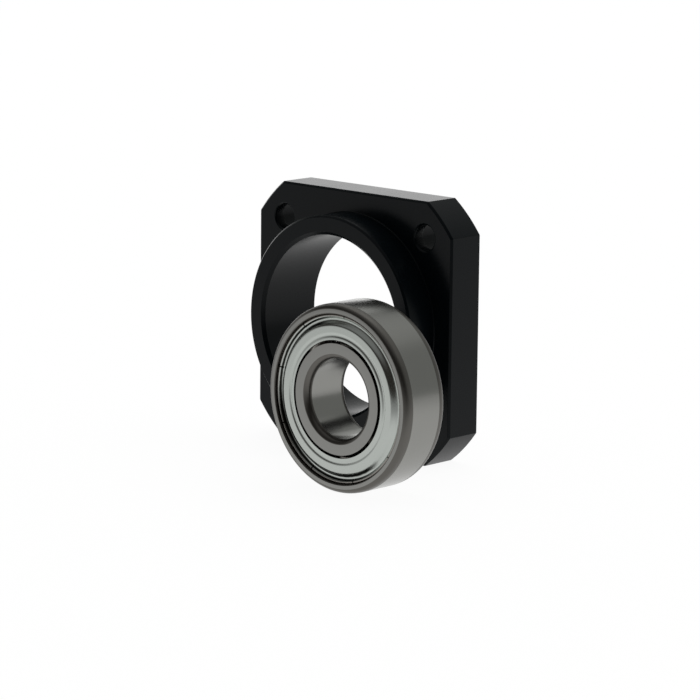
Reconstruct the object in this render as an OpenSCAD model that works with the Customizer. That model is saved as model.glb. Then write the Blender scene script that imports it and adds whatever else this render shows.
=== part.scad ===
// Floating-side end support for a ball screw: a square flange with a round
// spigot, and the shielded deep-groove ball bearing that slides into its bore.
// The bearing stands on its rim in front of the flange, ready to be fitted.
//
// The origin is on the bore's axis, in the plane where the spigot meets the
// flange. The spigot points to -Y, the flange's back to +Y and +Z is up.

/* [Flange] */
// Width of the flange across its flats
flange_w = 68; // [64:1:76]
// Wall between a screw-head recess and the turned corner outside it
corner_wall = 2; // [1:0.5:3.5]
// Thickness of the flange
flange_t = 11; // [9:0.5:16]
// Chamfer on the outer edges of the flange and the spigot
edge_break = 0.5; // [0.2:0.1:1.0]

/* [Spigot and bore] */
// Diameter of the spigot that centres the flange in its frame
spigot_d = 57; // [55:0.5:59]
// Length of the spigot in front of the flange
spigot_len = 9; // [5:0.5:14]
// Fillet where the spigot meets the flange
spigot_fillet = 0.25; // [0.1:0.05:0.5]
// Chamfer at both mouths of the bearing bore
bore_chamfer = 0.85; // [0.3:0.05:1.2]
// Radial slide fit between the bore and the bearing
bore_play = 0.01; // [0.005:0.005:0.05]

/* [Mounting holes] */
// Diameter of the circle that the mounting holes lie on
bolt_circle_d = 70; // [68:0.5:72]
// Diameter of each through hole
bolt_hole_d = 6.6; // [4.5:0.1:7.5]
// Diameter of the recess for a screw head, on the flange's back
head_recess_d = 11; // [9.5:0.5:12]
// Depth of the recess for a screw head
head_recess_depth = 8; // [4:0.5:8]
// Chamfer at the mouth of each through hole
hole_chamfer = 0.4; // [0.1:0.1:0.8]

/* [Bearing rings] */
// Bore of the inner ring
bearing_bore = 20; // [18:0.5:22]
// Outer diameter of the outer ring
bearing_od = 47; // [44:0.5:50]
// Width of both rings
bearing_w = 14; // [13:0.5:18]
// Radial size of the outer ring's rounded corners
rim_corner_r = 1.2; // [0.6:0.1:1.5]
// Axial size of the outer ring's rounded corners
rim_corner_w = 2.3; // [1:0.1:2.5]
// Radial size of the inner ring's rounded corners
bore_corner_r = 1.25; // [0.6:0.05:1.4]
// Axial size of the inner ring's rounded corners
bore_corner_w = 1.8; // [1:0.05:2.2]

/* [Balls and races] */
// Diameter of each ball
ball_d = 7.938; // [7:0.1:8.4]
// Number of balls
ball_count = 8; // [6:1:8]
// Radius of the race grooves as a share of the ball's diameter
race_ratio = 0.52; // [0.51:0.005:0.54]
// Depth of the race grooves below the rings' shoulders
race_depth = 1.15; // [0.9:0.05:1.4]
// Radial play between a ball and each race
race_play = 0.03; // [0.01:0.01:0.08]

/* [Cage] */
// Thickness of the cage's pressed strip
strip_t = 0.7; // [0.4:0.1:0.9]
// Gap between the cage's strip and the shoulder of each ring
cage_gap = 0.85; // [0.6:0.05:1.2]
// Play between a ball and its pocket
pocket_play = 0.12; // [0.08:0.02:0.2]
// Diameter of each rivet's shank
rivet_d = 1.2; // [0.8:0.1:1.4]
// Diameter of each rivet's head
rivet_head_d = 2; // [1.6:0.1:2.2]
// Height of each rivet's head
rivet_head_h = 0.45; // [0.3:0.05:0.6]
// Radial play of each rivet in its holes
rivet_play = 0.02; // [0.01:0.01:0.05]

/* [Shields] */
// Thickness of the shields' sheet steel
sheet_t = 0.3; // [0.2:0.05:0.4]
// Gap between the shield's lip and the inner ring
lip_gap = 0.75; // [0.4:0.05:0.9]
// Depth of the shield's flat below the face of the rings
flat_depth = 0.18; // [0.1:0.01:0.3]
// Depth of the stiffening groove pressed beside the lip
swage_depth = 0.2; // [0.1:0.01:0.25]
// Distance of that groove's middle from the lip
swage_inset = 1.15; // [1:0.05:1.4]
// Radial width of that groove
swage_w = 1.45; // [1:0.05:1.8]
// Depth of the channel below the face of the rings
channel_depth = 1.3; // [1.1:0.05:1.5]
// Radial width of the slope between the flat and the channel
slope_w = 1.6; // [1.3:0.05:1.8]
// Radial width of the channel's floor
channel_w = 0.2; // [0.1:0.05:0.4]
// Depth of the crimped rim's crest below the face of the rings
crest_depth = 0.6; // [0.5:0.05:0.7]
// Distance of the crest from the outer ring's mouth
crest_inset = 0.55; // [0.4:0.05:0.65]
// Radial width of the rise from the channel to the crest
rise_w = 0.8; // [0.7:0.05:1]
// Depth by which the rim curls back down behind the mouth
rim_drop = 0.45; // [0.4:0.05:0.6]
// Gap between the rim's edge and the bottom of the groove
rim_gap = 0.05; // [0.03:0.01:0.1]
// Number of slits in the crimped rim
slit_count = 9; // [6:1:12]
// Width of each slit
slit_w = 0.35; // [0.2:0.05:0.6]
// Angle of the first slit
slit_start = 5; // [0:1:39]

/* [Shield grooves] */
// Wall of the outer ring around a shield, from its mouth to its rim
mouth_wall = 2.35; // [2.1:0.05:2.6]
// Depth of the mouth before the groove opens
mouth_depth = 0.65; // [0.4:0.05:0.65]
// Radial depth of the groove that the shield's rim is crimped into
groove_undercut = 0.4; // [0.25:0.05:0.6]
// Gap between a shield and the seat that it is crimped against
seat_gap = 0.04; // [0.02:0.01:0.08]

/* [Standing place of the bearing] */
// Distance between the spigot's end and the bearing's back
bearing_ahead = 14.6; // [5:0.1:40]
// Distance of the bearing's axis to the right of the bore's axis
bearing_aside = 30.5; // [0:0.5:60]

/* [Hidden] */
$fn = 128;

// How far a cutting shape reaches past the surface that it cuts
over = 1;
// One mounting hole in each corner of the flange
bolt_count = 4;

// The flange's corners are turned to one circle around the recesses
corner_r = (bolt_circle_d + head_recess_d) / 2 + corner_wall;

// Bore of the housing, which takes the bearing with a slide fit
bore_r = bearing_od / 2 + bore_play;

// The balls run midway between the bearing's bore and its rim
pitch_r = (bearing_bore + bearing_od) / 4;
ball_r = ball_d / 2;
pocket_r = ball_r + pocket_play;
rivet_hole_r = rivet_d / 2 + rivet_play;

// Race grooves: radius of their round section, and of their bottoms
race_r = race_ratio * ball_d;
inner_race_r = pitch_r - ball_r - race_play;
outer_race_r = pitch_r + ball_r + race_play;
inner_shoulder_r = inner_race_r + race_depth;
outer_shoulder_r = outer_race_r - race_depth;

// Where a shield is crimped into the outer ring
mouth_r = bearing_od / 2 - mouth_wall;
groove_r = mouth_r + groove_undercut;

// Radii along a shield, from its lip out to the edge of its crimped rim
lip_r = inner_shoulder_r + lip_gap;
swage_r = lip_r + swage_inset;
rim_edge_r = groove_r - rim_gap;
crest_r = mouth_r - crest_inset;
floor_out_r = crest_r - rise_w;
floor_in_r = floor_out_r - channel_w;
flat_out_r = floor_in_r - slope_w;
// Depth of the seat in the outer ring that a shield's channel rests on
seat_depth = channel_depth + sheet_t + seat_gap;
// Points along a shield's section
shield_steps = 60;

// The bearing's middle: on its rim, level with the foot of the flange
bearing_at = [
    bearing_aside,
    -(spigot_len + bearing_ahead + bearing_w / 2),
    (bearing_od - flange_w) / 2
];

// ---- Housing: modelled with its bore along Z and the spigot pointing up ----

// Half of the section of a plate that reaches half_w from its middle,
// with both its outer edges broken.
module plate_half_section(half_w) {
    polygon([
        [0, -flange_t],
        [half_w - edge_break, -flange_t],
        [half_w, edge_break - flange_t],
        [half_w, -edge_break],
        [half_w - edge_break, 0],
        [0, 0]
    ]);
}

// A bar as wide as the flange, running along Y.
module flange_bar() {
    rotate([90, 0, 0])
        linear_extrude(2 * flange_w, center = true)
            for (side = [0, 1])
                mirror([side, 0])
                    plate_half_section(flange_w / 2);
}

// The square flange, its corners turned to one circle.
module flange() {
    intersection() {
        rotate_extrude()
            plate_half_section(corner_r);
        flange_bar();
        rotate(90)
            flange_bar();
    }
}

// The round spigot, with a small fillet at its root.
module spigot() {
    r = spigot_d / 2;
    rotate_extrude()
        difference() {
            polygon([
                [0, -flange_t / 2],
                [r + spigot_fillet, -flange_t / 2],
                [r + spigot_fillet, spigot_fillet],
                [r, spigot_fillet],
                [r, spigot_len - edge_break],
                [r - edge_break, spigot_len],
                [0, spigot_len]
            ]);
            translate([r + spigot_fillet, spigot_fillet])
                circle(spigot_fillet, $fn = 32);
        }
}

// The straight bore for the bearing, chamfered at both mouths.
module bearing_bore_cut() {
    reach = bore_r + bore_chamfer + over;
    rotate_extrude()
        polygon([
            [0, -flange_t - over],
            [reach, -flange_t - over],
            [bore_r, bore_chamfer - flange_t],
            [bore_r, spigot_len - bore_chamfer],
            [reach, spigot_len + over],
            [0, spigot_len + over]
        ]);
}

// One mounting hole, with its screw-head recess in the flange's back.
module mounting_hole_cut() {
    r = bolt_hole_d / 2;
    recess_floor = head_recess_depth - flange_t;
    rotate_extrude($fn = 64)
        polygon([
            [0, -flange_t - over],
            [head_recess_d / 2, -flange_t - over],
            [head_recess_d / 2, recess_floor],
            [r, recess_floor],
            [r, -hole_chamfer],
            [r + hole_chamfer + over, over],
            [0, over]
        ]);
}

module housing() {
    color("#25282c")
        rotate([90, 0, 0])
            difference() {
                union() {
                    flange();
                    spigot();
                }
                bearing_bore_cut();
                for (i = [0:bolt_count - 1])
                    rotate(45 + i * 360 / bolt_count)
                        translate([bolt_circle_d / 2, 0, 0])
                            mounting_hole_cut();
            }
}

// ---- Bearing: modelled around Z, with its middle at the origin ----

// Stands a piece of the bearing in its place, its front face to -Y.
module place_bearing() {
    translate(bearing_at)
        rotate([90, 0, 0])
            children();
}

// What a turned corner removes from a section. The corner is at the origin
// and the metal lies to -X and -Y. The arc runs out into the side at x = 0.
module turned_corner(radial, axial) {
    r = (radial * radial + axial * axial) / (2 * radial);
    difference() {
        translate([-radial, -axial])
            square([radial + over, axial + over]);
        translate([-r, -axial])
            circle(r);
    }
}

// Both turned corners of a ring. Side is 1 for corners that face outwards
// and 0 for corners that face the bore.
module ring_corners(r, radial, axial, side) {
    for (end = [0, 1])
        mirror([0, end])
            translate([r, bearing_w / 2])
                mirror([1 - side, 0])
                    turned_corner(radial, axial);
}

// Section of the space that a shield is crimped into, at the ring's front.
module shield_seat_section() {
    top = bearing_w / 2;
    polygon([
        [outer_shoulder_r - over, top + over],
        [outer_shoulder_r - over, top - seat_depth],
        [groove_r, top - seat_depth],
        [groove_r, top - mouth_depth],
        [mouth_r, top - mouth_depth],
        [mouth_r, top + over]
    ]);
}

module outer_ring() {
    color("#8f8f8b")
        place_bearing()
            rotate_extrude()
                difference() {
                    translate([outer_shoulder_r, -bearing_w / 2])
                        square([bearing_od / 2 - outer_shoulder_r, bearing_w]);
                    translate([outer_race_r - race_r, 0])
                        circle(race_r);
                    for (end = [0, 1])
                        mirror([0, end])
                            shield_seat_section();
                    ring_corners(bearing_od / 2, rim_corner_r, rim_corner_w, 1);
                }
}

module inner_ring() {
    color("#8f8f8b")
        place_bearing()
            rotate_extrude()
                difference() {
                    translate([bearing_bore / 2, -bearing_w / 2])
                        square([inner_shoulder_r - bearing_bore / 2, bearing_w]);
                    translate([inner_race_r + race_r, 0])
                        circle(race_r);
                    ring_corners(bearing_bore / 2, bore_corner_r, bore_corner_w, 0);
                }
}

// Steel ball number i, counted from 1.
module ball(i) {
    color("#b9bcbd")
        place_bearing()
            rotate((i - 1) * 360 / ball_count)
                translate([pitch_r, 0, 0])
                    sphere(ball_r);
}

// ---- Shields: pressed from sheet and crimped into the outer ring ----

// Smooth step from 0 at radius a to 1 at radius b.
function ease(a, b, r) =
    let (k = min(max((r - a) / (b - a), 0), 1))
    k * k * (3 - 2 * k);

// Depth of the stiffening groove at radius r.
function swage(r) =
    abs(r - swage_r) < swage_w / 2
        ? swage_depth * (1 + cos(360 * (r - swage_r) / swage_w)) / 2
        : 0;

// Depth of the sheet's outer face below the face of the rings, at radius r:
// a flat with its groove, a slope into the channel, and the crimped rim.
function shield_depth(r) =
    flat_depth + swage(r)
    + (channel_depth - flat_depth) * ease(flat_out_r, floor_in_r, r)
    - (channel_depth - crest_depth) * ease(floor_out_r, crest_r, r)
    + rim_drop * ease(crest_r, rim_edge_r, r);

// Steepness of the sheet at radius r.
function shield_slope(r) =
    (shield_depth(r + 0.01) - shield_depth(r - 0.01)) / 0.02;

// Thickness of the sheet measured along the axis, which grows on a slope.
function sheet_height(r) = sheet_t * sqrt(1 + pow(shield_slope(r), 2));

// One shield, facing up, with slits that let its rim spring into the groove.
module shield() {
    radii = [
        for (i = [0:shield_steps])
            lip_r + (rim_edge_r - lip_r) * i / shield_steps
    ];
    face = [for (r = radii) [r, -shield_depth(r)]];
    back = [
        for (i = [shield_steps:-1:0])
            [radii[i], -shield_depth(radii[i]) - sheet_height(radii[i])]
    ];
    translate([0, 0, bearing_w / 2])
        difference() {
            rotate_extrude()
                polygon(concat(face, back));
            for (i = [0:slit_count - 1])
                rotate(slit_start + i * 360 / slit_count)
                    translate([floor_out_r, -slit_w / 2, -seat_depth - over])
                        cube([groove_r - floor_out_r, slit_w, seat_depth + over]);
        }
}

module front_shield() {
    color("#c4c8c3")
        place_bearing()
            shield();
}

module back_shield() {
    color("#c4c8c3")
        place_bearing()
            mirror([0, 0, 1])
                shield();
}

// ---- Cage: two pressed strips riveted together between the balls ----

// Turns its children to the middle of each gap between two balls.
module between_balls() {
    for (i = [0:ball_count - 1])
        rotate((i + 0.5) * 360 / ball_count)
            translate([pitch_r, 0, 0])
                children();
}

// The front strip: flats at the middle plane and a cup over each ball.
module cage_strip() {
    cup_r = pocket_r + strip_t;
    strip_in_r = inner_shoulder_r + cage_gap;
    strip_out_r = outer_shoulder_r - cage_gap;
    difference() {
        intersection() {
            union() {
                cylinder(r = strip_out_r, h = strip_t);
                for (i = [0:ball_count - 1])
                    rotate(i * 360 / ball_count)
                        translate([pitch_r, 0, 0])
                            sphere(cup_r, $fn = 64);
            }
            rotate_extrude()
                translate([strip_in_r, 0])
                    square([strip_out_r - strip_in_r, cup_r + over]);
        }
        for (i = [0:ball_count - 1])
            rotate(i * 360 / ball_count)
                translate([pitch_r, 0, 0])
                    sphere(pocket_r, $fn = 64);
        between_balls()
            translate([0, 0, -over])
                cylinder(r = rivet_hole_r, h = strip_t + 2 * over, $fn = 32);
    }
}

// A rivet through both strips, with a domed head at each end.
module rivet() {
    head_r = rivet_head_d / 2;
    dome_r = (head_r * head_r + rivet_head_h * rivet_head_h) / (2 * rivet_head_h);
    rotate_extrude($fn = 32) {
        translate([0, -strip_t - rivet_head_h / 4])
            square([rivet_d / 2, 2 * strip_t + rivet_head_h / 2]);
        for (end = [0, 1])
            mirror([0, end])
                translate([0, strip_t])
                    intersection() {
                        translate([0, rivet_head_h - dome_r])
                            circle(dome_r);
                        square([head_r, rivet_head_h]);
                    }
    }
}

module cage_front_half() {
    color("#a7a39a")
        place_bearing()
            cage_strip();
}

module cage_back_half() {
    color("#a7a39a")
        place_bearing()
            mirror([0, 0, 1])
                cage_strip();
}

module cage_rivets() {
    color("#b4b0a6")
        place_bearing()
            between_balls()
                rivet();
}

housing();
outer_ring();
inner_ring();
front_shield();
back_shield();
cage_front_half();
cage_back_half();
cage_rivets();
for (i = [1:ball_count])
    ball(i);
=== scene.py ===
"""Looks of a ball screw end support: pieces, finishes, studio and camera.

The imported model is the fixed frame. The pieces that are open to view are turned,
milled and pressed again here, with rounded edges, and stand for their plain
solids. The balls and the cage stay as packed and get their finishes.
"""

import logging
import math
from contextlib import contextmanager
from dataclasses import dataclass, field
from enum import Enum
from typing import Iterator, Sequence

import bmesh
import bpy
from mathutils import Matrix, Vector


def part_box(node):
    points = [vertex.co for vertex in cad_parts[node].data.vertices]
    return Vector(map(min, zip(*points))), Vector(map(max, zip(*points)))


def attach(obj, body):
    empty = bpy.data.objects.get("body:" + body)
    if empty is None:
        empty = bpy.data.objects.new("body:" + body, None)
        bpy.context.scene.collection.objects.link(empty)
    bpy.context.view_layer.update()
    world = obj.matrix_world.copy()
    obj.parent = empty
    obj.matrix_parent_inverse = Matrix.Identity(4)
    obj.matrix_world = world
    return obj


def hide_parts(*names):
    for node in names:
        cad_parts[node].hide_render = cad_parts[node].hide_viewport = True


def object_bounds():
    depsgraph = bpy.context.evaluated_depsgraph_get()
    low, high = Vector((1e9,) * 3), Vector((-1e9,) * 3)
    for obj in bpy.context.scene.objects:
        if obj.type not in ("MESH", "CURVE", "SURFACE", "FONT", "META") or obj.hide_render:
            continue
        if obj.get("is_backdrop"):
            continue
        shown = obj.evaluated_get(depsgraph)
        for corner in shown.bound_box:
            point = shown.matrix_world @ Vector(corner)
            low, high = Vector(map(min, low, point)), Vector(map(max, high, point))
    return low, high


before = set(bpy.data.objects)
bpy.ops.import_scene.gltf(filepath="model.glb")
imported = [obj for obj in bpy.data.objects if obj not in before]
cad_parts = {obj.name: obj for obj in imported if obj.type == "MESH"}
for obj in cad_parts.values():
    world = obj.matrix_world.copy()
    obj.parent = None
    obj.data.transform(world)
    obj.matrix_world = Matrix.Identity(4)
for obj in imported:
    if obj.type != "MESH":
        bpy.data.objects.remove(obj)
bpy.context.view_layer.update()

LOG = logging.getLogger("end_support")

Point = tuple[float, float]
Colour = tuple[float, float, float]
Socket = bpy.types.NodeSocket

MM = 0.001
TURNED_STEPS = 288
HOLE_STEPS = 96
CORNER_STEPS = 12
LEANING = 0.95
FACE_SLOT = 1
TURNED_SLOT = 2
MERGE_GAP = 0.001 * MM
TOUCH = 0.01
SMOOTH_ANGLE = math.radians(32)
EDGE_ANGLE = math.radians(20)
LINES_SHARE = 0.4


# ---- Working at the bench: selection, outlines and turning ----


def deselect_all() -> None:
    """Leaves no object selected."""
    bpy.ops.object.select_all(action="DESELECT")


def pick(active: bpy.types.Object, *others: bpy.types.Object) -> None:
    """Selects the given objects alone and makes the first one active."""
    deselect_all()
    for piece in (active, *others):
        piece.select_set(True)
    bpy.context.view_layer.objects.active = active


def set_in_place() -> None:
    """Moves the selected object's place, turn and scale into its mesh."""
    bpy.ops.object.transform_apply(location=True, rotation=True, scale=True)


def reach(point: Vector, axis: Vector) -> float:
    """Gives a point's distance from an axis along Y, in millimetres."""
    return math.hypot(point.x - axis.x, point.z - axis.z) / MM


@contextmanager
def editing(piece: bpy.types.Object) -> Iterator[bmesh.types.BMesh]:
    """Opens a piece in edit mode with nothing selected, and closes it after use.

    Args:
        piece: The object to edit.

    Yields:
        The mesh being edited.
    """
    pick(piece)
    bpy.ops.object.mode_set(mode="EDIT")
    bpy.ops.mesh.select_mode(type="EDGE")
    bpy.ops.mesh.select_all(action="DESELECT")
    try:
        yield bmesh.from_edit_mesh(piece.data)
    finally:
        bpy.ops.object.mode_set(mode="OBJECT")


def tidy_shell() -> None:
    """Merges doubled points in the open mesh and points its faces outwards."""
    bpy.ops.mesh.select_all(action="SELECT")
    bpy.ops.mesh.remove_doubles(threshold=MERGE_GAP)
    bpy.ops.mesh.normals_make_consistent(inside=False)


def arc(centre: Point, radius: float, start: float, end: float, steps: int) -> list[Point]:
    """Gives points along a circular arc.

    Args:
        centre: Centre of the circle.
        radius: Radius of the circle.
        start: Angle of the first point, in degrees.
        end: Angle of the last point, in degrees.
        steps: Number of stretches between points.

    Returns:
        The points, both ends among them.
    """
    angles = [math.radians(start + (end - start) * i / steps) for i in range(steps + 1)]
    return [(centre[0] + radius * math.cos(a), centre[1] + radius * math.sin(a)) for a in angles]


def eased(outline: Sequence[Point], radius: float, closed: bool) -> list[Point]:
    """Rounds the sharp corners of an outline.

    Args:
        outline: Corners in order.
        radius: Radius of the rounding.
        closed: Whether the last corner is joined to the first.

    Returns:
        The outline with a short curve in place of each sharp corner.
    """
    steps = 4
    share = 0.4
    result: list[Point] = []
    for i, here in enumerate(outline):
        if not closed and i in (0, len(outline) - 1):
            result.append(here)
            continue
        corner = Vector(here)
        back = Vector(outline[i - 1]) - corner
        ahead = Vector(outline[(i + 1) % len(outline)]) - corner
        turn = math.pi - back.angle(ahead)
        if turn < SMOOTH_ANGLE:
            result.append(here)
            continue
        trim = min(radius * math.tan(turn / 2), share * back.length, share * ahead.length)
        first = corner + back.normalized() * trim
        last = corner + ahead.normalized() * trim
        for k in range(steps + 1):
            t = k / steps
            place = first * (1 - t) ** 2 + corner * 2 * t * (1 - t) + last * t**2
            result.append((place.x, place.y))
    return result


def turned(
    name: str, outline: Sequence[Point], axis: Vector, closed: bool, steps: int = TURNED_STEPS
) -> bpy.types.Object:
    """Turns an outline about an axis that runs along Y, as on a lathe.

    Args:
        name: Name of the new object.
        outline: Points of the outline as radius and y, in millimetres.
        axis: A point on the axis, in metres.
        closed: Whether the outline's last point is joined to its first.
        steps: Number of facets around the axis.

    Returns:
        The turned object, closed and with its faces outwards.
    """
    points = [*outline, outline[0]] if closed else list(outline)
    start = Vector((axis.x + points[0][0] * MM, points[0][1] * MM, axis.z))
    deselect_all()
    bpy.ops.mesh.primitive_plane_add(size=MM, location=start)
    piece = bpy.context.object
    piece.name = name
    set_in_place()
    bpy.ops.object.mode_set(mode="EDIT")
    bpy.ops.mesh.select_mode(type="VERT")
    bpy.ops.mesh.select_all(action="SELECT")
    bpy.ops.mesh.merge(type="CENTER")
    for here, there in zip(points, points[1:]):
        step = ((there[0] - here[0]) * MM, (there[1] - here[1]) * MM, 0)
        bpy.ops.mesh.extrude_vertices_move(TRANSFORM_OT_translate={"value": step})
    bpy.ops.mesh.select_all(action="SELECT")
    bpy.ops.mesh.remove_doubles(threshold=MERGE_GAP)
    bpy.ops.mesh.select_all(action="SELECT")
    bpy.ops.mesh.spin(steps=steps, angle=math.tau, center=axis, axis=(0, 1, 0), use_auto_merge=True)
    tidy_shell()
    bpy.ops.object.mode_set(mode="OBJECT")
    return piece


def carve(piece: bpy.types.Object, cutter: bpy.types.Object) -> None:
    """Takes a cutter's shape out of a piece and throws the cutter away.

    Args:
        piece: The object to cut.
        cutter: The closed shape to remove.
    """
    pick(piece)
    cut = piece.modifiers.new("cut", "BOOLEAN")
    cut.operation = "DIFFERENCE"
    cut.solver = "EXACT"
    cut.object = cutter
    bpy.ops.object.modifier_apply(modifier=cut.name)
    bpy.data.objects.remove(cutter)


def smooth(piece: bpy.types.Object) -> None:
    """Shades a piece smooth up to its edges, its flats kept flat.

    Args:
        piece: The object to shade.
    """
    pick(piece)
    bpy.ops.object.shade_smooth_by_angle(angle=SMOOTH_ANGLE)
    flats = piece.modifiers.new("flats", "WEIGHTED_NORMAL")
    flats.keep_sharp = True
    bpy.ops.object.modifier_apply(modifier=flats.name)


# ---- Finishes ----


class NodeSheet:
    """A node tree that is filled in from left to right."""

    def __init__(self, tree: bpy.types.NodeTree) -> None:
        """Clears the tree."""
        self.tree = tree
        tree.nodes.clear()

    def add(self, kind: str, **settings: object) -> bpy.types.Node:
        """Adds a node.

        Args:
            kind: The node's type.
            **settings: Properties to set on it.

        Returns:
            The new node.
        """
        node = self.tree.nodes.new(kind)
        for name, value in settings.items():
            setattr(node, name, value)
        return node

    def link(self, source: Socket, *targets: Socket) -> None:
        """Links an output to one or more inputs."""
        for target in targets:
            self.tree.links.new(source, target)

    def maths(self, operation: str, *values: object) -> Socket:
        """Adds a Math node.

        Args:
            operation: The operation's name.
            *values: A socket or a number for each input.

        Returns:
            The node's output.
        """
        node = self.add("ShaderNodeMath", operation=operation)
        self.fill(node, values)
        return node.outputs[0]

    def fill(self, node: bpy.types.Node, values: Sequence[object]) -> None:
        """Fills a node's inputs in order with sockets or constants."""
        for socket, value in zip(node.inputs, values):
            if isinstance(value, Socket):
                self.link(value, socket)
            else:
                socket.default_value = value

    def blend(self, factor: object, first: object, second: object) -> Socket:
        """Mixes two colours.

        Args:
            factor: A socket or a number from 0 to 1.
            first: The colour or socket at 0.
            second: The colour or socket at 1.

        Returns:
            The mixed colour.
        """
        node = self.add("ShaderNodeMix", data_type="RGBA")
        for socket, value in ((node.inputs[0], factor), (node.inputs[6], first), (node.inputs[7], second)):
            if isinstance(value, Socket):
                self.link(value, socket)
            elif socket is node.inputs[0]:
                socket.default_value = value
            else:
                socket.default_value = (*value, 1)
        return node.outputs[2]

    def ramp(self, value: Socket, low: float, high: float) -> Socket:
        """Adds a smooth ramp from 0 at low to 1 at high."""
        node = self.add("ShaderNodeMapRange", interpolation_type="SMOOTHSTEP")
        self.fill(node, (value, low, high, 0.0, 1.0))
        return node.outputs[0]

    def radius(self, place: Socket) -> tuple[Socket, Socket]:
        """Gives a place's vector away from the Y axis, and its length."""
        flat = self.add("ShaderNodeVectorMath", operation="MULTIPLY")
        self.link(place, flat.inputs[0])
        flat.inputs[1].default_value = (1, 0, 1)
        length = self.add("ShaderNodeVectorMath", operation="LENGTH")
        self.link(flat.outputs[0], length.inputs[0])
        return flat.outputs[0], length.outputs["Value"]

    def spread(self, value: object, low: float, high: float) -> Socket:
        """Maps a value from 0..1 to low..high."""
        return self.maths("MULTIPLY_ADD", value, high - low, low)


def new_group(name: str, inputs: dict[str, float | None], outputs: Sequence[str]) -> NodeSheet:
    """Makes an empty shader node group.

    Args:
        name: The group's name.
        inputs: Default of each input by name, or None for a vector.
        outputs: Names of the outputs, all of them values.

    Returns:
        The group's sheet.
    """
    tree = bpy.data.node_groups.new(name, "ShaderNodeTree")
    for label, default in inputs.items():
        kind = "NodeSocketVector" if default is None else "NodeSocketFloat"
        socket = tree.interface.new_socket(label, in_out="INPUT", socket_type=kind)
        if default is not None:
            socket.default_value = default
    for label in outputs:
        tree.interface.new_socket(label, in_out="OUTPUT", socket_type="NodeSocketFloat")
    return NodeSheet(tree)


def lathe_lines_group() -> bpy.types.NodeTree:
    """Makes the group for fine lines that run around the Y axis.

    Returns:
        A group that takes a place and a pitch and gives a height from 0 to 1.
    """
    sheet = new_group(
        "lathe_lines",
        {"Place": None, "Lines per metre": 2500.0, "Breaks per metre": 60.0},
        ["Height"],
    )
    given = sheet.add("NodeGroupInput")
    split = sheet.add("ShaderNodeSeparateXYZ")
    sheet.link(given.outputs["Place"], split.inputs[0])
    _, radius = sheet.radius(given.outputs["Place"])
    rings = sheet.add("ShaderNodeCombineXYZ")
    along = sheet.maths("MULTIPLY", split.outputs[1], given.outputs["Lines per metre"])
    out = sheet.maths("MULTIPLY", radius, given.outputs["Lines per metre"])
    sheet.fill(rings, (out, along, 0.0))
    breaks = sheet.add("ShaderNodeVectorMath", operation="SCALE")
    sheet.link(given.outputs["Place"], breaks.inputs[0])
    sheet.link(given.outputs["Breaks per metre"], breaks.inputs["Scale"])
    total = sheet.add("ShaderNodeVectorMath", operation="ADD")
    sheet.fill(total, (rings.outputs[0], breaks.outputs[0]))
    noise = sheet.add("ShaderNodeTexNoise")
    sheet.link(total.outputs[0], noise.inputs["Vector"])
    noise.inputs["Scale"].default_value = 1.0
    noise.inputs["Detail"].default_value = 4.0
    noise.inputs["Roughness"].default_value = 0.65
    result = sheet.add("NodeGroupOutput")
    sheet.link(noise.outputs["Fac"], result.inputs["Height"])
    return sheet.tree


def handling_group() -> bpy.types.NodeTree:
    """Makes the group for the uneven sheen that oil and handling leave.

    Returns:
        A group that takes a place and gives soft clouds and fine specks.
    """
    sheet = new_group(
        "handling",
        {"Place": None, "Clouds per metre": 60.0, "Specks per metre": 3000.0},
        ["Clouds", "Specks"],
    )
    given = sheet.add("NodeGroupInput")
    result = sheet.add("NodeGroupOutput")
    for label, detail in (("Clouds", 3.0), ("Specks", 2.0)):
        noise = sheet.add("ShaderNodeTexNoise")
        sheet.link(given.outputs["Place"], noise.inputs["Vector"])
        sheet.link(given.outputs[f"{label} per metre"], noise.inputs["Scale"])
        noise.inputs["Detail"].default_value = detail
        sheet.link(noise.outputs["Fac"], result.inputs[label])
    return sheet.tree


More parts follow.
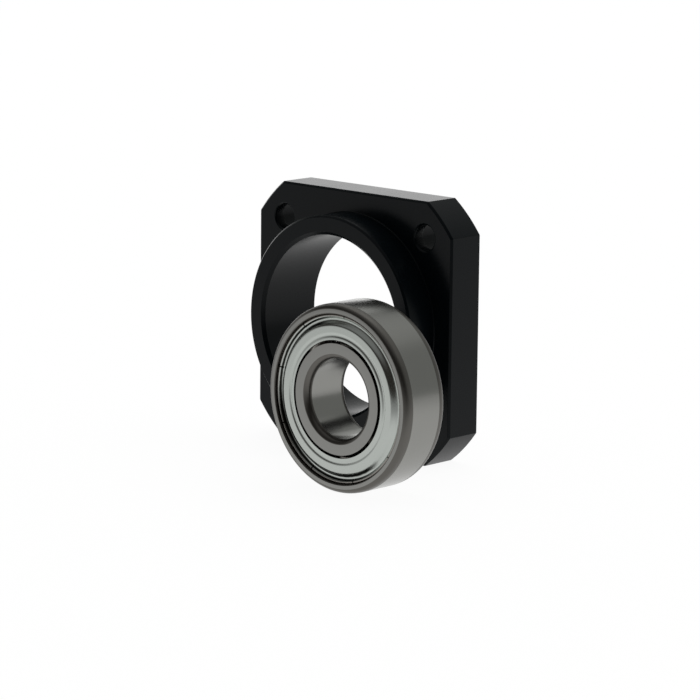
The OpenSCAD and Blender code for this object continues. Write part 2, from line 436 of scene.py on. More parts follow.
def shade_and_tint_group() -> bpy.types.NodeTree:
    """Makes the group for a darker band about an axis, which serves as painted shade in a ring-shaped
    groove and as a plain darker tone.

    Returns:
        A group that takes a place, two radii, the side where the band is darkest and how far round
        the band reaches, as a cosine, and gives a cover from 0 to 1.
    """
    blotches_per_metre = 700.0
    end_raggedness = 300.0
    end_steepness = 4.0
    sheet = new_group(
        "shade_and_tint",
        {"Place": None, "From": 0.0, "To": 0.0, "Softness": 0.0002, "Dark side": None, "Reach": -2.0},
        ["Cover"],
    )
    given = sheet.add("NodeGroupInput")
    flat, radius = sheet.radius(given.outputs["Place"])
    blotches = sheet.add("ShaderNodeTexNoise")
    sheet.link(given.outputs["Place"], blotches.inputs["Vector"])
    blotches.inputs["Scale"].default_value = blotches_per_metre
    blotches.inputs["Detail"].default_value = 3.0
    ragged = sheet.maths("SUBTRACT", blotches.outputs["Fac"], 0.5)
    ragged = sheet.maths("MULTIPLY", ragged, given.outputs["Softness"])
    place = sheet.maths("ADD", radius, ragged)
    inside = sheet.maths("SUBTRACT", place, given.outputs["From"])
    inside = sheet.maths("DIVIDE", inside, given.outputs["Softness"])
    outside = sheet.maths("SUBTRACT", given.outputs["To"], place)
    outside = sheet.maths("DIVIDE", outside, given.outputs["Softness"])
    # Painted shade: the band is darkest towards the dark side and fades out round the ring.
    outwards = sheet.add("ShaderNodeVectorMath", operation="NORMALIZE")
    sheet.link(flat, outwards.inputs[0])
    lean = sheet.add("ShaderNodeVectorMath", operation="DOT_PRODUCT")
    sheet.fill(lean, (outwards.outputs[0], given.outputs["Dark side"]))
    dark_side = sheet.maths("SUBTRACT", lean.outputs["Value"], given.outputs["Reach"])
    dark_side = sheet.maths("MULTIPLY_ADD", ragged, end_raggedness, dark_side)
    dark_side = sheet.maths("MULTIPLY", dark_side, end_steepness)
    cover = sheet.add("ShaderNodeClamp")
    across = sheet.maths("MINIMUM", inside, outside)
    sheet.link(sheet.maths("MINIMUM", across, dark_side), cover.inputs["Value"])
    result = sheet.add("NodeGroupOutput")
    sheet.link(cover.outputs[0], result.inputs["Cover"])
    return sheet.tree


@dataclass(frozen=True)
class ShadeAndTint:
    """A darker band between two radii about a piece's axis, in millimetres.

    As painted shade the band is darkest at the dark side, an angle in degrees, and runs out
    at the spread to either side of it; with a spread of 180 it is a plain darker tone all round.
    """

    start: float
    end: float
    softness: float = 0.2
    dark_side: float = 205.0
    spread: float = 180.0
    # Near black by default: the colour of painted shade.
    colour: Colour = (0.012, 0.012, 0.01)


@dataclass(frozen=True)
class MetalFinish:
    """A bare or blackened metal surface with tool lines and uneven sheen."""

    name: str
    colour: Colour
    shade: Colour
    roughness: tuple[float, float]
    metallic: float = 1.0
    specular: float = 0.5
    lines_per_metre: float = 2500.0
    line_depth: float = 0.002
    specks_per_metre: float = 3000.0
    speck_depth: float = 0.001

    def material(self, axis: Vector, shades_and_tints: Sequence[ShadeAndTint] = ()) -> bpy.types.Material:
        """Makes the finish for a piece turned about an axis along Y.

        Args:
            axis: A point on the piece's axis, in metres.
            shades_and_tints: Darker bands on it, painted shade and plain darker tones.

        Returns:
            The material.
        """
        material = bpy.data.materials.new(self.name)
        material.use_nodes = True
        material.diffuse_color = (*self.colour, 1)
        sheet = NodeSheet(material.node_tree)
        place = sheet.add("ShaderNodeTexCoord")
        centred = sheet.add("ShaderNodeMapping")
        centred.inputs["Location"].default_value = (-axis.x, -axis.y, -axis.z)
        sheet.link(place.outputs["Object"], centred.inputs["Vector"])
        lines = sheet.add("ShaderNodeGroup", node_tree=bpy.data.node_groups["lathe_lines"])
        marks = sheet.add("ShaderNodeGroup", node_tree=bpy.data.node_groups["handling"])
        sheet.link(centred.outputs[0], lines.inputs["Place"], marks.inputs["Place"])
        lines.inputs["Lines per metre"].default_value = self.lines_per_metre
        marks.inputs["Specks per metre"].default_value = self.specks_per_metre
        surface = sheet.add("ShaderNodeBsdfPrincipled")
        surface.inputs["Metallic"].default_value = self.metallic
        surface.inputs["Specular IOR Level"].default_value = self.specular
        tone = sheet.maths("MULTIPLY", lines.outputs["Height"], LINES_SHARE)
        tone = sheet.maths("MULTIPLY_ADD", marks.outputs["Clouds"], 1 - LINES_SHARE, tone)
        colour = sheet.blend(tone, self.colour, self.shade)
        # Darker bands mixed into the colour: painted shade in hollows, and plain darker tones.
        for shade_and_tint in shades_and_tints:
            band_cover = sheet.add("ShaderNodeGroup", node_tree=bpy.data.node_groups["shade_and_tint"])
            sheet.link(centred.outputs[0], band_cover.inputs["Place"])
            band_cover.inputs["From"].default_value = shade_and_tint.start * MM
            band_cover.inputs["To"].default_value = shade_and_tint.end * MM
            band_cover.inputs["Softness"].default_value = shade_and_tint.softness * MM
            side = math.radians(shade_and_tint.dark_side)
            band_cover.inputs["Dark side"].default_value = (math.cos(side), 0, math.sin(side))
            if shade_and_tint.spread < 180:
                band_cover.inputs["Reach"].default_value = math.cos(math.radians(shade_and_tint.spread))
            colour = sheet.blend(band_cover.outputs["Cover"], colour, shade_and_tint.colour)
        sheet.link(colour, surface.inputs["Base Color"])
        sheet.link(sheet.spread(marks.outputs["Clouds"], *self.roughness), surface.inputs["Roughness"])
        grooves = sheet.add("ShaderNodeBump")
        grooves.inputs["Distance"].default_value = self.line_depth * MM
        sheet.link(lines.outputs["Height"], grooves.inputs["Height"])
        specks = sheet.add("ShaderNodeBump")
        specks.inputs["Distance"].default_value = self.speck_depth * MM
        sheet.link(marks.outputs["Specks"], specks.inputs["Height"])
        sheet.link(grooves.outputs["Normal"], specks.inputs["Normal"])
        sheet.link(specks.outputs["Normal"], surface.inputs["Normal"])
        result = sheet.add("ShaderNodeOutputMaterial")
        sheet.link(surface.outputs[0], result.inputs["Surface"])
        return material


BLACK_OXIDE = MetalFinish(
    name="black_oxide",
    colour=(0.003, 0.0052, 0.0068),
    shade=(0.0045, 0.0075, 0.0098),
    roughness=(0.21, 0.27),
    metallic=0.0,
    specular=0.12,
    lines_per_metre=1800.0,
    line_depth=0.004,
    specks_per_metre=2600.0,
    speck_depth=0.003,
)
FACE_STEEL = MetalFinish(
    name="face_steel",
    colour=(0.225, 0.225, 0.213),
    shade=(0.255, 0.255, 0.243),
    roughness=(0.28, 0.34),
)
GROUND_STEEL = MetalFinish(
    name="ground_steel",
    colour=(0.235, 0.235, 0.222),
    shade=(0.265, 0.265, 0.25),
    roughness=(0.18, 0.23),
    line_depth=0.001,
)
TURNED_STEEL = MetalFinish(
    name="turned_steel",
    colour=(0.105, 0.1, 0.092),
    shade=(0.135, 0.13, 0.12),
    roughness=(0.34, 0.40),
    line_depth=0.004,
)
SHIELD_SHEET = MetalFinish(
    name="shield_sheet",
    colour=(0.40, 0.425, 0.40),
    shade=(0.45, 0.475, 0.45),
    roughness=(0.2, 0.25),
    line_depth=0.0015,
)
CAGE_STRIP = MetalFinish(
    name="cage_strip", colour=(0.42, 0.40, 0.37), shade=(0.48, 0.46, 0.43), roughness=(0.30, 0.38)
)
BALL_STEEL = MetalFinish(
    name="ball_steel",
    colour=(0.62, 0.62, 0.63),
    shade=(0.66, 0.66, 0.67),
    roughness=(0.06, 0.09),
    line_depth=0.0,
    speck_depth=0.0,
)


# ---- Housing ----


@dataclass
class Housing:
    """The square flange with its spigot, bearing bore and screw holes."""

    width: float = 68.0
    corner_radius: float = 42.5
    thickness: float = 11.0
    edge_break: float = 0.5
    spigot_radius: float = 28.5
    spigot_length: float = 9.0
    root_fillet: float = 0.25
    bore_radius: float = 23.51
    bore_chamfer: float = 0.85
    hole_circle: float = 35.0
    hole_radius: float = 3.3
    hole_chamfer: float = 0.4
    recess_radius: float = 5.5
    recess_depth: float = 8.0
    rounding: float = 0.07
    corner_steps: int = 180
    axis: Vector = field(default_factory=lambda: Vector((0, 0, 0)))

    @property
    def root_radius(self) -> float:
        """Radius at which the spigot's fillet runs out on the flange."""
        return self.spigot_radius + self.root_fillet

    def build(self) -> bpy.types.Object:
        """Makes the housing in one closed shell.

        Returns:
            The housing, ready to be dressed.
        """
        piece = self._plate()
        self._open_middle(piece)
        for corner in range(4):
            carve(piece, self._hole_cutter(math.radians(45 + 90 * corner)))
        self._round_edges(piece)
        self._join_core(piece, self._core())
        smooth(piece)
        return piece

    def _plate(self) -> bpy.types.Object:
        """Mills the square flange out of a round blank, with its edges broken."""
        deselect_all()
        bpy.ops.mesh.primitive_cylinder_add(
            vertices=self.corner_steps,
            radius=self.corner_radius * MM,
            depth=self.thickness * MM,
            location=(0, self.thickness / 2 * MM, 0),
            rotation=(math.pi / 2, 0, 0),
        )
        piece = bpy.context.object
        piece.name = "machined_housing"
        set_in_place()
        with editing(piece):
            for side in (Vector((1, 0, 0)), Vector((-1, 0, 0)), Vector((0, 0, 1)), Vector((0, 0, -1))):
                bpy.ops.mesh.select_all(action="SELECT")
                bpy.ops.mesh.bisect(
                    plane_co=side * self.width / 2 * MM, plane_no=side, use_fill=True, clear_outer=True
                )
            tidy_shell()
        with editing(piece) as mesh:
            for edge in mesh.edges:
                heights = [vert.co.y / MM for vert in edge.verts]
                edge.select_set(max(heights) < TOUCH or min(heights) > self.thickness - TOUCH)
            bmesh.update_edit_mesh(piece.data)
            bpy.ops.mesh.bevel(offset=self.edge_break * MM, segments=1, affect="EDGES")
        return piece

    def _open_middle(self, piece: bpy.types.Object) -> None:
        """Cuts the flange open where the core goes.

        Args:
            piece: The milled flange.
        """
        over = 1.0
        outline = [
            (0, -over),
            (self.root_radius, -over),
            (self.root_radius, self.thickness + over),
            (0, self.thickness + over),
        ]
        carve(piece, turned("middle", outline, self.axis, closed=False))

    def _hole_cutter(self, angle: float) -> bpy.types.Object:
        """Makes the shape of one screw hole with its head recess.

        Args:
            angle: Where the hole lies on its circle, in radians.

        Returns:
            The cutter.
        """
        over = 1.0
        floor = self.thickness - self.recess_depth
        outline = [
            (0, -over),
            (self.hole_radius + self.hole_chamfer + over, -over),
            (self.hole_radius, self.hole_chamfer),
            (self.hole_radius, floor),
            (self.recess_radius, floor),
            (self.recess_radius, self.thickness + over),
            (0, self.thickness + over),
        ]
        centre = Vector((math.cos(angle), 0, math.sin(angle))) * self.hole_circle * MM
        return turned("hole", outline, centre, closed=False, steps=HOLE_STEPS)

    def _round_edges(self, piece: bpy.types.Object) -> None:
        """Takes the sharpness off every edge of the flange.

        Args:
            piece: The milled and drilled flange.
        """
        with editing(piece) as mesh:
            bpy.ops.mesh.edges_select_sharp(sharpness=EDGE_ANGLE)
            for edge in mesh.edges:
                middle = (edge.verts[0].co + edge.verts[1].co) / 2
                if reach(middle, self.axis) < self.root_radius + self.root_fillet:
                    edge.select_set(False)
            bmesh.update_edit_mesh(piece.data)
            bpy.ops.mesh.bevel(offset=self.rounding * MM, segments=2, affect="EDGES")

    def _core(self) -> bpy.types.Object:
        """Turns the spigot and the bore as one open shell.

        Returns:
            The shell, which ends where it meets the flange's two faces.
        """
        fillet = arc((self.root_radius, -self.root_fillet), self.root_fillet, 90, 180, 6)
        bore_mouth = self.bore_radius + self.bore_chamfer
        outline = fillet + eased(
            [
                fillet[-1],
                (self.spigot_radius, self.edge_break - self.spigot_length),
                (self.spigot_radius - self.edge_break, -self.spigot_length),
                (bore_mouth, -self.spigot_length),
                (self.bore_radius, self.bore_chamfer - self.spigot_length),
                (self.bore_radius, self.thickness - self.bore_chamfer),
                (bore_mouth, self.thickness),
                (self.root_radius, self.thickness),
            ],
            self.rounding,
            closed=False,
        )[1:]
        return turned("core", outline, self.axis, closed=False)

    def _join_core(self, piece: bpy.types.Object, core: bpy.types.Object) -> None:
        """Puts the core into the flange as one closed shell.

        Args:
            piece: The flange, with a plain hole where the core goes.
            core: The turned shell.
        """
        with editing(piece) as mesh:
            bpy.ops.mesh.select_mode(type="FACE")
            for face in mesh.faces:
                face.select_set(
                    max(reach(vert.co, self.axis) for vert in face.verts) < self.root_radius + TOUCH
                )
            bmesh.update_edit_mesh(piece.data)
            bpy.ops.mesh.delete(type="FACE")
        pick(piece, core)
        bpy.ops.object.join()
        with editing(piece):
            tidy_shell()

    def dress(self, piece: bpy.types.Object) -> None:
        """Gives the housing its finish and its place in the model.

        Args:
            piece: The housing.
        """
        piece.data.materials.clear()
        piece.data.materials.append(BLACK_OXIDE.material(self.axis))
        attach(piece, "housing")
        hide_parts("housing")


# ---- Bearing ----


@dataclass
class BearingSizes:
    """Sizes that the bearing's pieces share, in millimetres."""

    bore: float = 20.0
    rim: float = 47.0
    width: float = 14.0
    ball: float = 7.938
    race_share: float = 0.52
    race_play: float = 0.03
    race_depth: float = 1.15
    mouth_wall: float = 2.35
    mouth_depth: float = 0.65
    groove_undercut: float = 0.4
    channel_depth: float = 1.3
    sheet: float = 0.3
    seat_gap: float = 0.04
    rounding: float = 0.06

    @property
    def centre(self) -> Vector:
        """The middle of the bearing, in metres."""
        low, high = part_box("outer_ring")
        return (low + high) / 2

    @property
    def pitch_radius(self) -> float:
        """Radius of the circle that the balls' centres run on."""
        return (self.bore + self.rim) / 4

    @property
    def race_radius(self) -> float:
        """Radius of the race grooves' section."""
        return self.race_share * self.ball

    @property
    def inner_race(self) -> float:
        """Radius at the bottom of the inner ring's race."""
        return self.pitch_radius - self.ball / 2 - self.race_play

    @property
    def outer_race(self) -> float:
        """Radius at the bottom of the outer ring's race."""
        return self.pitch_radius + self.ball / 2 + self.race_play

    @property
    def inner_shoulder(self) -> float:
        """Radius of the inner ring's shoulders."""
        return self.inner_race + self.race_depth

    @property
    def outer_shoulder(self) -> float:
        """Radius of the outer ring's shoulders."""
        return self.outer_race - self.race_depth

    @property
    def mouth(self) -> float:
        """Radius of the outer ring's mouth around a shield."""
        return self.rim / 2 - self.mouth_wall

    @property
    def groove(self) -> float:
        """Radius of the groove that holds a shield's rim."""
        return self.mouth + self.groove_undercut

    def both_sides(self, half: Sequence[Point]) -> list[Point]:
        """Mirrors a half outline about the bearing's middle plane.

        Args:
            half: Points from the middle plane to the middle plane again, as
                radius and distance from that plane.

        Returns:
            The closed outline, as radius and y.
        """
        middle = self.centre.y / MM
        front = [(radius, middle - off) for radius, off in half]
        back = [(radius, middle + off) for radius, off in reversed(half[1:-1])]
        return front + back


def corner_curve(start: Point, radial: float, axial: float, lean: float) -> list[Point]:
    """Gives a ring's turned corner, which runs out into the ring's side.

    Args:
        start: Where the corner starts, on the ring's side.
        radial: How far the corner goes across the ring's face, signed.
        axial: How far the corner goes up the ring's side.
        lean: Slope of the corner where it meets the face, in degrees.

    Returns:
        Points from the side to the face.
    """
    side_share = 0.6
    face_share = 0.75
    tilt = math.radians(lean)
    first = Vector(start)
    last = first + Vector((radial, axial))
    ahead = first + Vector((0, side_share * axial))
    face_pull = face_share * radial
    behind = last - Vector((face_pull * math.cos(tilt), abs(face_pull) * math.sin(tilt)))
    result = []
    for i in range(CORNER_STEPS + 1):
        t = i / CORNER_STEPS
        u = 1 - t
        place = first * u**3 + ahead * 3 * u * u * t + behind * 3 * u * t * t + last * t**3
        result.append((place.x, place.y))
    return result


def turn_ring(name: str, sizes: BearingSizes, half: Sequence[Point]) -> bpy.types.Object:
    """Turns a ring of the bearing.

    Args:
        name: Name of the ring.
        sizes: The bearing's sizes.
        half: Half of the ring's section, as for BearingSizes.both_sides.

    Returns:
        The ring.
    """
    outline = eased(sizes.both_sides(half), sizes.rounding, closed=True)
    piece = turned(name, outline, sizes.centre, closed=True)
    smooth(piece)
    return piece


@dataclass
class OuterRing:
    """The outer ring, with its race and the grooves for the shields."""

    sizes: BearingSizes
    corner_across: float = 1.2
    corner_along: float = 2.3
    corner_lean: float = 18.0
    mouth_across: float = 0.22
    mouth_along: float = 0.14

    def build(self) -> bpy.types.Object:
        """Turns the ring."""
        s = self.sizes
        half_width = s.width / 2
        seat = half_width - s.channel_depth - s.sheet - s.seat_gap
        race_centre = s.outer_race - s.race_radius
        edge = math.degrees(math.acos((s.outer_shoulder - race_centre) / s.race_radius))
        rim = s.rim / 2
        corner = corner_curve(
            (rim, half_width - self.corner_along),
            -self.corner_across,
            self.corner_along,
            self.corner_lean,
        )
        half = [
            *arc((race_centre, 0), s.race_radius, 0, edge, 16),
            (s.outer_shoulder, seat),
            (s.groove, seat),
            (s.groove, half_width - s.mouth_depth),
            (s.mouth, half_width - s.mouth_depth),
            (s.mouth, half_width - self.mouth_along),
            (s.mouth + self.mouth_across, half_width),
            *reversed(corner),
            (rim, 0),
        ]
        return turn_ring("ground_outer_ring", s, half)

    def dress(self, piece: bpy.types.Object) -> None:
        """Gives the ring its finishes and its place in the model."""
        s = self.sizes
        piece.data.materials.clear()
        dress_ring(piece, s, (s.rim / 2 - self.corner_across, s.rim / 2), self.corner_along)
        centre = s.centre
        mouth_out = s.mouth + self.mouth_across + s.rounding
        for face in piece.data.polygons:
            near_mouth = s.mouth - s.rounding < reach(face.center, centre) < mouth_out
            if near_mouth and abs(face.normal.y) < LEANING:
                face.material_index = TURNED_SLOT
        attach(piece, "housing")
        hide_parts("outer_ring")


@dataclass
class InnerRing:
    """The inner ring, with its race and its bore for the journal."""

    sizes: BearingSizes
    corner_across: float = 1.25
    corner_along: float = 1.8
    corner_lean: float = 24.0

    def build(self) -> bpy.types.Object:
        """Turns the ring."""
        s = self.sizes
        half_width = s.width / 2
        race_centre = s.inner_race + s.race_radius
        edge = math.degrees(math.acos((race_centre - s.inner_shoulder) / s.race_radius))
        bore = s.bore / 2
        corner = corner_curve(
            (bore, half_width - self.corner_along),
            self.corner_across,
            self.corner_along,
            self.corner_lean,
        )
        half = [
            *arc((race_centre, 0), s.race_radius, 180, 180 - edge, 16),
            (s.inner_shoulder, half_width),
            *reversed(corner),
            (bore, 0),
        ]
        return turn_ring("ground_inner_ring", s, half)

    def dress(self, piece: bpy.types.Object) -> None:
        """Gives the ring its finishes and its place in the model."""
        s = self.sizes
        piece.data.materials.clear()
        dress_ring(piece, s, (s.bore / 2, s.bore / 2 + self.corner_across), self.corner_along)
        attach(piece, "inner_ring")
        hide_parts("inner_ring")


def dress_ring(piece: bpy.types.Object, sizes: BearingSizes, corners: Point, along: float) -> None:
    """Gives a ring its ground walls, its duller faces and its turned corners.

    Args:
        piece: The ring.
        sizes: The bearing's sizes.
        corners: Smallest and largest radius of the corners.
        along: How far the corners go along the axis.
    """
    centre = sizes.centre
    for finish in (GROUND_STEEL, FACE_STEEL, TURNED_STEEL):
        piece.data.materials.append(finish.material(centre))
    low, high = corners
    corner_start = sizes.width / 2 - along
    face_start = sizes.width / 2 - sizes.rounding
    for face in piece.data.polygons:
        off = abs(face.center.y - centre.y) / MM
        if low - TOUCH < reach(face.center, centre) < high + TOUCH and off > corner_start:
            face.material_index = TURNED_SLOT
        elif off > face_start:
            face.material_index = FACE_SLOT


class Facing(Enum):
    """The side of the bearing that a shield closes."""

    FRONT = -1
    BACK = 1


@dataclass
class Shield:
    """A pressed shield, crimped into the outer ring by its slit rim."""

    sizes: BearingSizes
    facing: Facing
    lip_gap: float = 0.75
    flat_depth: float = 0.18
    swage_depth: float = 0.2
    swage_inset: float = 1.15
    swage_width: float = 1.45
    slope_width: float = 1.6
    channel_width: float = 0.2
    crest_depth: float = 0.6
    crest_inset: float = 0.55
    rise_width: float = 0.8
    rim_drop: float = 0.45
    rim_gap: float = 0.05
    slits: int = 9
    slit_width: float = 0.35
    first_slit: float = 5.0
    section_steps: int = 64

    def _radii(self) -> tuple[float, float, float, float, float, float]:
        """Gives the radii of the lip, flat, channel, crest and rim edge."""
        s = self.sizes
        crest = s.mouth - self.crest_inset
        floor_out = crest - self.rise_width
        floor_in = floor_out - self.channel_width
        return (
            s.inner_shoulder + self.lip_gap,
            floor_in - self.slope_width,
            floor_in,
            floor_out,
            crest,
            s.groove - self.rim_gap,
        )

    def _depth(self, radius: float) -> float:
        """Gives the depth of the sheet's face below the rings at a radius."""
        lip, flat_out, floor_in, floor_out, crest, edge = self._radii()
        channel = self.sizes.channel_depth
        offset = radius - lip - self.swage_inset
        swage = 0.0
        if abs(offset) < self.swage_width / 2:
            swage = self.swage_depth * (1 + math.cos(math.tau * offset / self.swage_width)) / 2
        return (
            self.flat_depth
            + swage
            + (channel - self.flat_depth) * ease(flat_out, floor_in, radius)
            - (channel - self.crest_depth) * ease(floor_out, crest, radius)
            + self.rim_drop * ease(crest, edge, radius)
        )

    def _outline(self) -> list[Point]:
        """Gives the closed section of the sheet, as radius and y."""
        lip, *_, edge = self._radii()
        sheet = self.sizes.sheet
        face: list[Point] = []
        back: list[Point] = []
        for i in range(self.section_steps + 1):
            radius = lip + (edge - lip) * i / self.section_steps
            depth = self._depth(radius)
            slope = (self._depth(radius + TOUCH) - self._depth(radius - TOUCH)) / (2 * TOUCH)
            face.append((radius, depth))
            back.append((radius, depth + sheet * math.hypot(1, slope)))
        rings_face = self.sizes.centre.y / MM + self.facing.value * self.sizes.width / 2
        closed = eased(face + back[::-1], self.sizes.rounding, closed=True)
        return [(radius, rings_face - self.facing.value * depth) for radius, depth in closed]

    def build(self) -> bpy.types.Object:
        """Presses the shield and cuts the slits in its rim.

        Returns:
            The shield.
        """
        s = self.sizes
        name = f"pressed_{self.facing.name.lower()}_shield"
        piece = turned(name, self._outline(), s.centre, closed=True)
        carve(piece, self._slit_cutter())
        with editing(piece):
            tidy_shell()
        smooth(piece)
        return piece

    def _slit_cutter(self) -> bpy.types.Object:
        """Makes one cutter for all the slits.

        Returns:
            The cutter.
        """
        s = self.sizes
        *_, floor_out, _, edge = self._radii()
        over = 1.0
        start = floor_out
        length = edge + over - start
        height = s.channel_depth + s.sheet + s.seat_gap + over
        face_y = s.centre.y + self.facing.value * s.width / 2 * MM
        deselect_all()
        bpy.ops.mesh.primitive_cube_add(size=1)
        slit = bpy.context.object
        slit.scale = Vector((length, height, self.slit_width)) * MM
        slit.location = Vector(((start + length / 2) * MM, 0, 0))
        set_in_place()
        bars = [slit]
        for _ in range(self.slits - 1):
            bar = slit.copy()
            bar.data = slit.data.copy()
            bpy.context.collection.objects.link(bar)
            bars.append(bar)
        for i, bar in enumerate(bars):
            angle = math.radians(self.first_slit + 360 * i / self.slits)
            turn = Matrix.Rotation(-angle, 4, "Y")
            bar.data.transform(Matrix.Translation((s.centre.x, face_y, s.centre.z)) @ turn)
        pick(*bars)
        bpy.ops.object.join()
        return slit

    def dress(self, piece: bpy.types.Object) -> None:
        """Gives the shield its finish and its place in the model."""
        piece.data.materials.clear()
        _, _, floor_in, floor_out, crest, edge = self._radii()
        # The first three bands are painted shade in the channel and on its slope and rise, darkest at the
        # left a little below the middle; the last gives the rim a darker brownish tone all round.
        channel_shade_and_rim_tone = (
            ShadeAndTint(floor_in - 1.1, floor_in - 0.05, softness=0.3, spread=110.0),
            ShadeAndTint(floor_out + 0.05, crest - 0.2, softness=0.15, spread=105.0),
            ShadeAndTint(floor_in - 1.3, crest - 0.2, softness=0.2, spread=40.0),
            ShadeAndTint(crest - 0.15, edge + 1.0, softness=0.15, colour=(0.22, 0.205, 0.19)),
        )
        piece.data.materials.append(SHIELD_SHEET.material(self.sizes.centre, channel_shade_and_rim_tone))
        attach(piece, "housing")
        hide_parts(f"{self.facing.name.lower()}_shield")


def ease(start: float, end: float, value: float) -> float:
    """Steps smoothly from 0 at start to 1 at end."""
    share = min(max((value - start) / (end - start), 0.0), 1.0)
    return share * share * (3 - 2 * share)


@dataclass
class RollingSet:
    """The balls, the cage's two halves and its rivets, kept as packed."""

    sizes: BearingSizes

    def dress(self) -> None:
        """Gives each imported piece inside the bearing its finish."""
        centre = self.sizes.centre
        strip = CAGE_STRIP.material(centre)
        steel = BALL_STEEL.material(centre)
        for name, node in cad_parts.items():
            if name.startswith("cage_"):
                dress_node(node, strip)
            elif name.startswith("ball_"):
                dress_node(node, steel)


def dress_node(node: bpy.types.Object, material: bpy.types.Material) -> None:
    """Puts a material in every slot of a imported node."""
    node.data.materials.clear()
    node.data.materials.append(material)
    LOG.info("%s keeps its packed shape, finish %s", node.name, material.name)


# ---- Studio ----


@dataclass
class Softbox:
    """A square lamp with a soft light, aimed at the object."""

    name: str
    place: tuple[float, float, float]
    size: float
    watts: float

    def build(self, target: Vector) -> None:
        """Hangs the lamp.

        Args:
            target: The point that it is aimed at.
        """
        lamp = bpy.data.lights.new(self.name, "AREA")
        lamp.shape = "SQUARE"
        lamp.size = self.size
        lamp.energy = self.watts
        stand = bpy.data.objects.new(self.name, lamp)
        bpy.context.scene.collection.objects.link(stand)
        stand.location = self.place
        stand.rotation_euler = (target - stand.location).to_track_quat("-Z", "Y").to_euler()


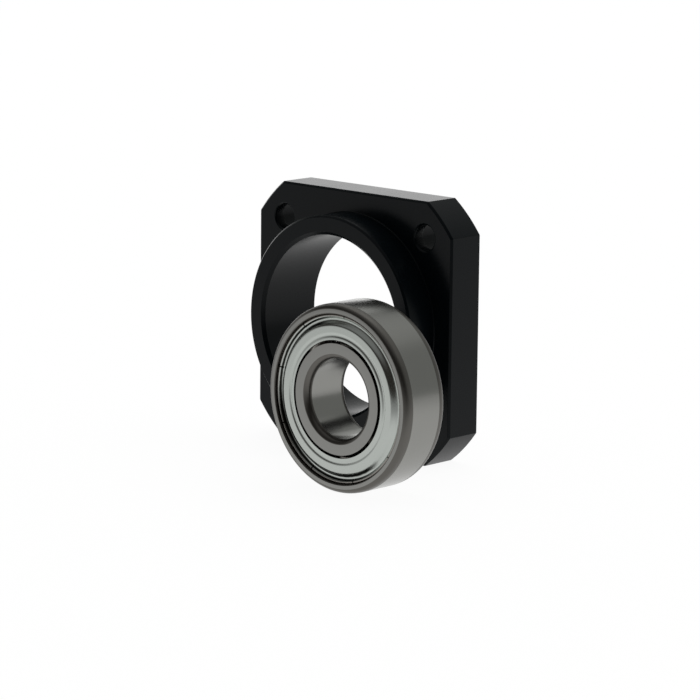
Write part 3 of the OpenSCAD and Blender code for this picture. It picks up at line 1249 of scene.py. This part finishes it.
@dataclass
class Studio:
    """A pale floor in a room that is bright at the left and dark at the front.

    Each field whose name ends in from, and panel_top, gives where a light in the
    room starts and where it is full, as a share of the view's direction.
    """

    floor_size: float = 8.0
    floor_tone: float = 0.8
    shaded_tone: float = 0.14
    # glow, far_glow, near, far, front_dimming and front_glow paint light falloff on the floor as
    # reflections see it: dimmer away from the object and towards the front.
    glow: float = 0.94
    far_glow: float = 0.72
    near: float = 0.07
    far: float = 0.32
    dark: Colour = (0.04, 0.036, 0.032)
    dark_above: Colour = (0.3, 0.3, 0.3)
    side: Colour = (0.41, 0.42, 0.41)
    above: Colour = (0.65, 0.66, 0.65)
    front_panel: Colour = (0.55, 0.55, 0.55)
    back_panel: Colour = (1.35, 1.35, 1.35)
    front_dimming: tuple[float, float] = (0.09, 0.16)
    front_glow: float = 0.45
    toward_front: tuple[float, float, float] = (0.69, -0.72, 0.0)
    left_from: tuple[float, float] = (-0.05, 0.75)
    above_from: tuple[float, float] = (0.58, 0.72)
    front_from: tuple[float, float] = (-0.35, 0.15)
    front_above_from: tuple[float, float] = (0.5, 0.85)
    panel_top: tuple[float, float] = (0.22, 0.36)
    back_from: tuple[float, float] = (0.0, 0.6)

    def build(self) -> None:
        """Lays the floor, hangs the lamps and sets the world."""
        low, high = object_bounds()
        middle = (low + high) / 2
        self._floor(low.z)
        self._world()
        for lamp in (
            Softbox("overhead_softbox", (-0.3, 0.3, 1.5), 1.0, 1.6),
            Softbox("back_softbox", (-1.1, 1.1, 0.8), 0.8, 0.6),
        ):
            lamp.build(middle)

    def _floor(self, height: float) -> None:
        """Lays the floor.

        Args:
            height: The level that the object stands on.
        """
        deselect_all()
        bpy.ops.mesh.primitive_plane_add(size=self.floor_size, location=(0, 0, height))
        floor = bpy.context.object
        floor.name = "floor"
        set_in_place()
        floor.data.materials.append(self._paper())
        floor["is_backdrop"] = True

    def _paper(self) -> bpy.types.Material:
        """Makes the floor's material, which lights the object less than it shows, with painted light
        falloff in the glow that reflections see.

        Returns:
            The material.
        """
        material = bpy.data.materials.new("pale_floor")
        material.use_nodes = True
        sheet = NodeSheet(material.node_tree)
        path = sheet.add("ShaderNodeLightPath")
        mirrored = sheet.maths(
            "MAXIMUM", path.outputs["Is Glossy Ray"], path.outputs["Is Transmission Ray"]
        )
        seen = sheet.maths("MAXIMUM", path.outputs["Is Camera Ray"], mirrored)
        paper = sheet.add("ShaderNodeBsdfDiffuse")
        paper.inputs["Color"].default_value = (self.floor_tone, self.floor_tone, self.floor_tone, 1)
        shaded = sheet.add("ShaderNodeBsdfDiffuse")
        tone = self.shaded_tone
        shaded.inputs["Color"].default_value = (tone, tone, tone, 1)
        # Painted light falloff: the glow that reflections see dims with distance from the object and
        # towards the front; camera rays see it at full strength.
        place = sheet.add("ShaderNodeTexCoord")
        distance = sheet.add("ShaderNodeVectorMath", operation="LENGTH")
        sheet.link(place.outputs["Object"], distance.inputs[0])
        fading = sheet.ramp(distance.outputs["Value"], self.near, self.far)
        ahead = sheet.add("ShaderNodeVectorMath", operation="DOT_PRODUCT")
        sheet.link(place.outputs["Object"], ahead.inputs[0])
        ahead.inputs[1].default_value = self.toward_front
        frontness = sheet.ramp(ahead.outputs["Value"], *self.front_dimming)
        faded = sheet.maths("MULTIPLY_ADD", fading, self.far_glow / self.glow - 1, 1.0)
        cut = sheet.maths("MULTIPLY_ADD", frontness, self.front_glow / self.glow - 1, 1.0)
        kept = sheet.maths("MULTIPLY", faded, cut)
        kept = sheet.maths("MAXIMUM", kept, path.outputs["Is Camera Ray"])
        glow = sheet.add("ShaderNodeEmission")
        sheet.link(sheet.maths("MULTIPLY", kept, self.glow), glow.inputs["Strength"])
        lit = sheet.add("ShaderNodeAddShader")
        sheet.fill(lit, (shaded.outputs[0], glow.outputs[0]))
        either = sheet.add("ShaderNodeMixShader")
        sheet.fill(either, (seen, paper.outputs[0], lit.outputs[0]))
        result = sheet.add("ShaderNodeOutputMaterial")
        sheet.link(either.outputs[0], result.inputs["Surface"])
        return material

    def _world(self) -> None:
        """Sets the light that comes from all around."""
        world = bpy.data.worlds.new("studio")
        bpy.context.scene.world = world
        world.use_nodes = True
        sheet = NodeSheet(world.node_tree)
        place = sheet.add("ShaderNodeTexCoord")
        split = sheet.add("ShaderNodeSeparateXYZ")
        sheet.link(place.outputs["Generated"], split.inputs[0])
        back, height = split.outputs[1:3]
        left = sheet.maths("MULTIPLY", split.outputs[0], -1.0)
        leftward = sheet.ramp(left, *self.left_from)
        walls = sheet.blend(sheet.ramp(height, *self.above_from), self.side, self.above)
        in_front = sheet.ramp(sheet.maths("MULTIPLY", back, -1.0), *self.front_from)
        lifted = sheet.ramp(height, *self.front_above_from)
        walls = sheet.blend(in_front, walls, sheet.blend(lifted, self.dark, self.dark_above))
        low = sheet.maths("SUBTRACT", 1.0, sheet.ramp(height, *self.panel_top))
        behind = sheet.ramp(back, *self.back_from)
        panel = sheet.blend(behind, self.front_panel, self.back_panel)
        seen = sheet.blend(sheet.maths("MULTIPLY", low, leftward), walls, panel)
        light = sheet.add("ShaderNodeBackground")
        sheet.link(seen, light.inputs["Color"])
        result = sheet.add("ShaderNodeOutputWorld")
        sheet.link(light.outputs[0], result.inputs["Surface"])


@dataclass
class Viewpoint:
    """A camera on a tripod, given by where it looks and from which side."""

    aim: tuple[float, float, float] = (0.01156, -0.01289, -0.00406)
    distance: float = 0.85393
    azimuth: float = 43.54
    elevation: float = 10.834
    roll: float = 0.585
    lens: float = 173.62
    sensor: float = 36.0
    clip_end: float = 50.0

    @property
    def towards(self) -> Vector:
        """The direction from the object to the camera."""
        side = math.radians(self.azimuth)
        rise = math.radians(self.elevation)
        return Vector((math.sin(side) * math.cos(rise), -math.cos(side) * math.cos(rise), math.sin(rise)))

    def build(self) -> None:
        """Sets up the camera and makes it the scene's."""
        data = bpy.data.cameras.new("camera")
        data.lens = self.lens
        data.sensor_width = self.sensor
        data.clip_end = self.clip_end
        camera = bpy.data.objects.new("camera", data)
        bpy.context.scene.collection.objects.link(camera)
        level = self.towards.to_track_quat("Z", "Y").to_matrix().to_4x4()
        rolled = level @ Matrix.Rotation(math.radians(self.roll), 4, "Z")
        camera.matrix_world = Matrix.Translation(Vector(self.aim) + self.towards * self.distance) @ rolled
        bpy.context.scene.camera = camera


def main() -> None:
    """Builds and dresses each piece, then sets up the studio and the camera."""
    logging.basicConfig(level=logging.INFO, format="%(name)s: %(message)s")
    bpy.context.scene.view_settings.view_transform = "Standard"
    lathe_lines_group()
    handling_group()
    shade_and_tint_group()
    sizes = BearingSizes()
    for maker in (
        Housing(),
        OuterRing(sizes),
        InnerRing(sizes),
        Shield(sizes, Facing.FRONT),
        Shield(sizes, Facing.BACK),
    ):
        piece = maker.build()
        maker.dress(piece)
    RollingSet(sizes).dress()
    Studio().build()
    Viewpoint().build()


if __name__ == "__main__":
    main()
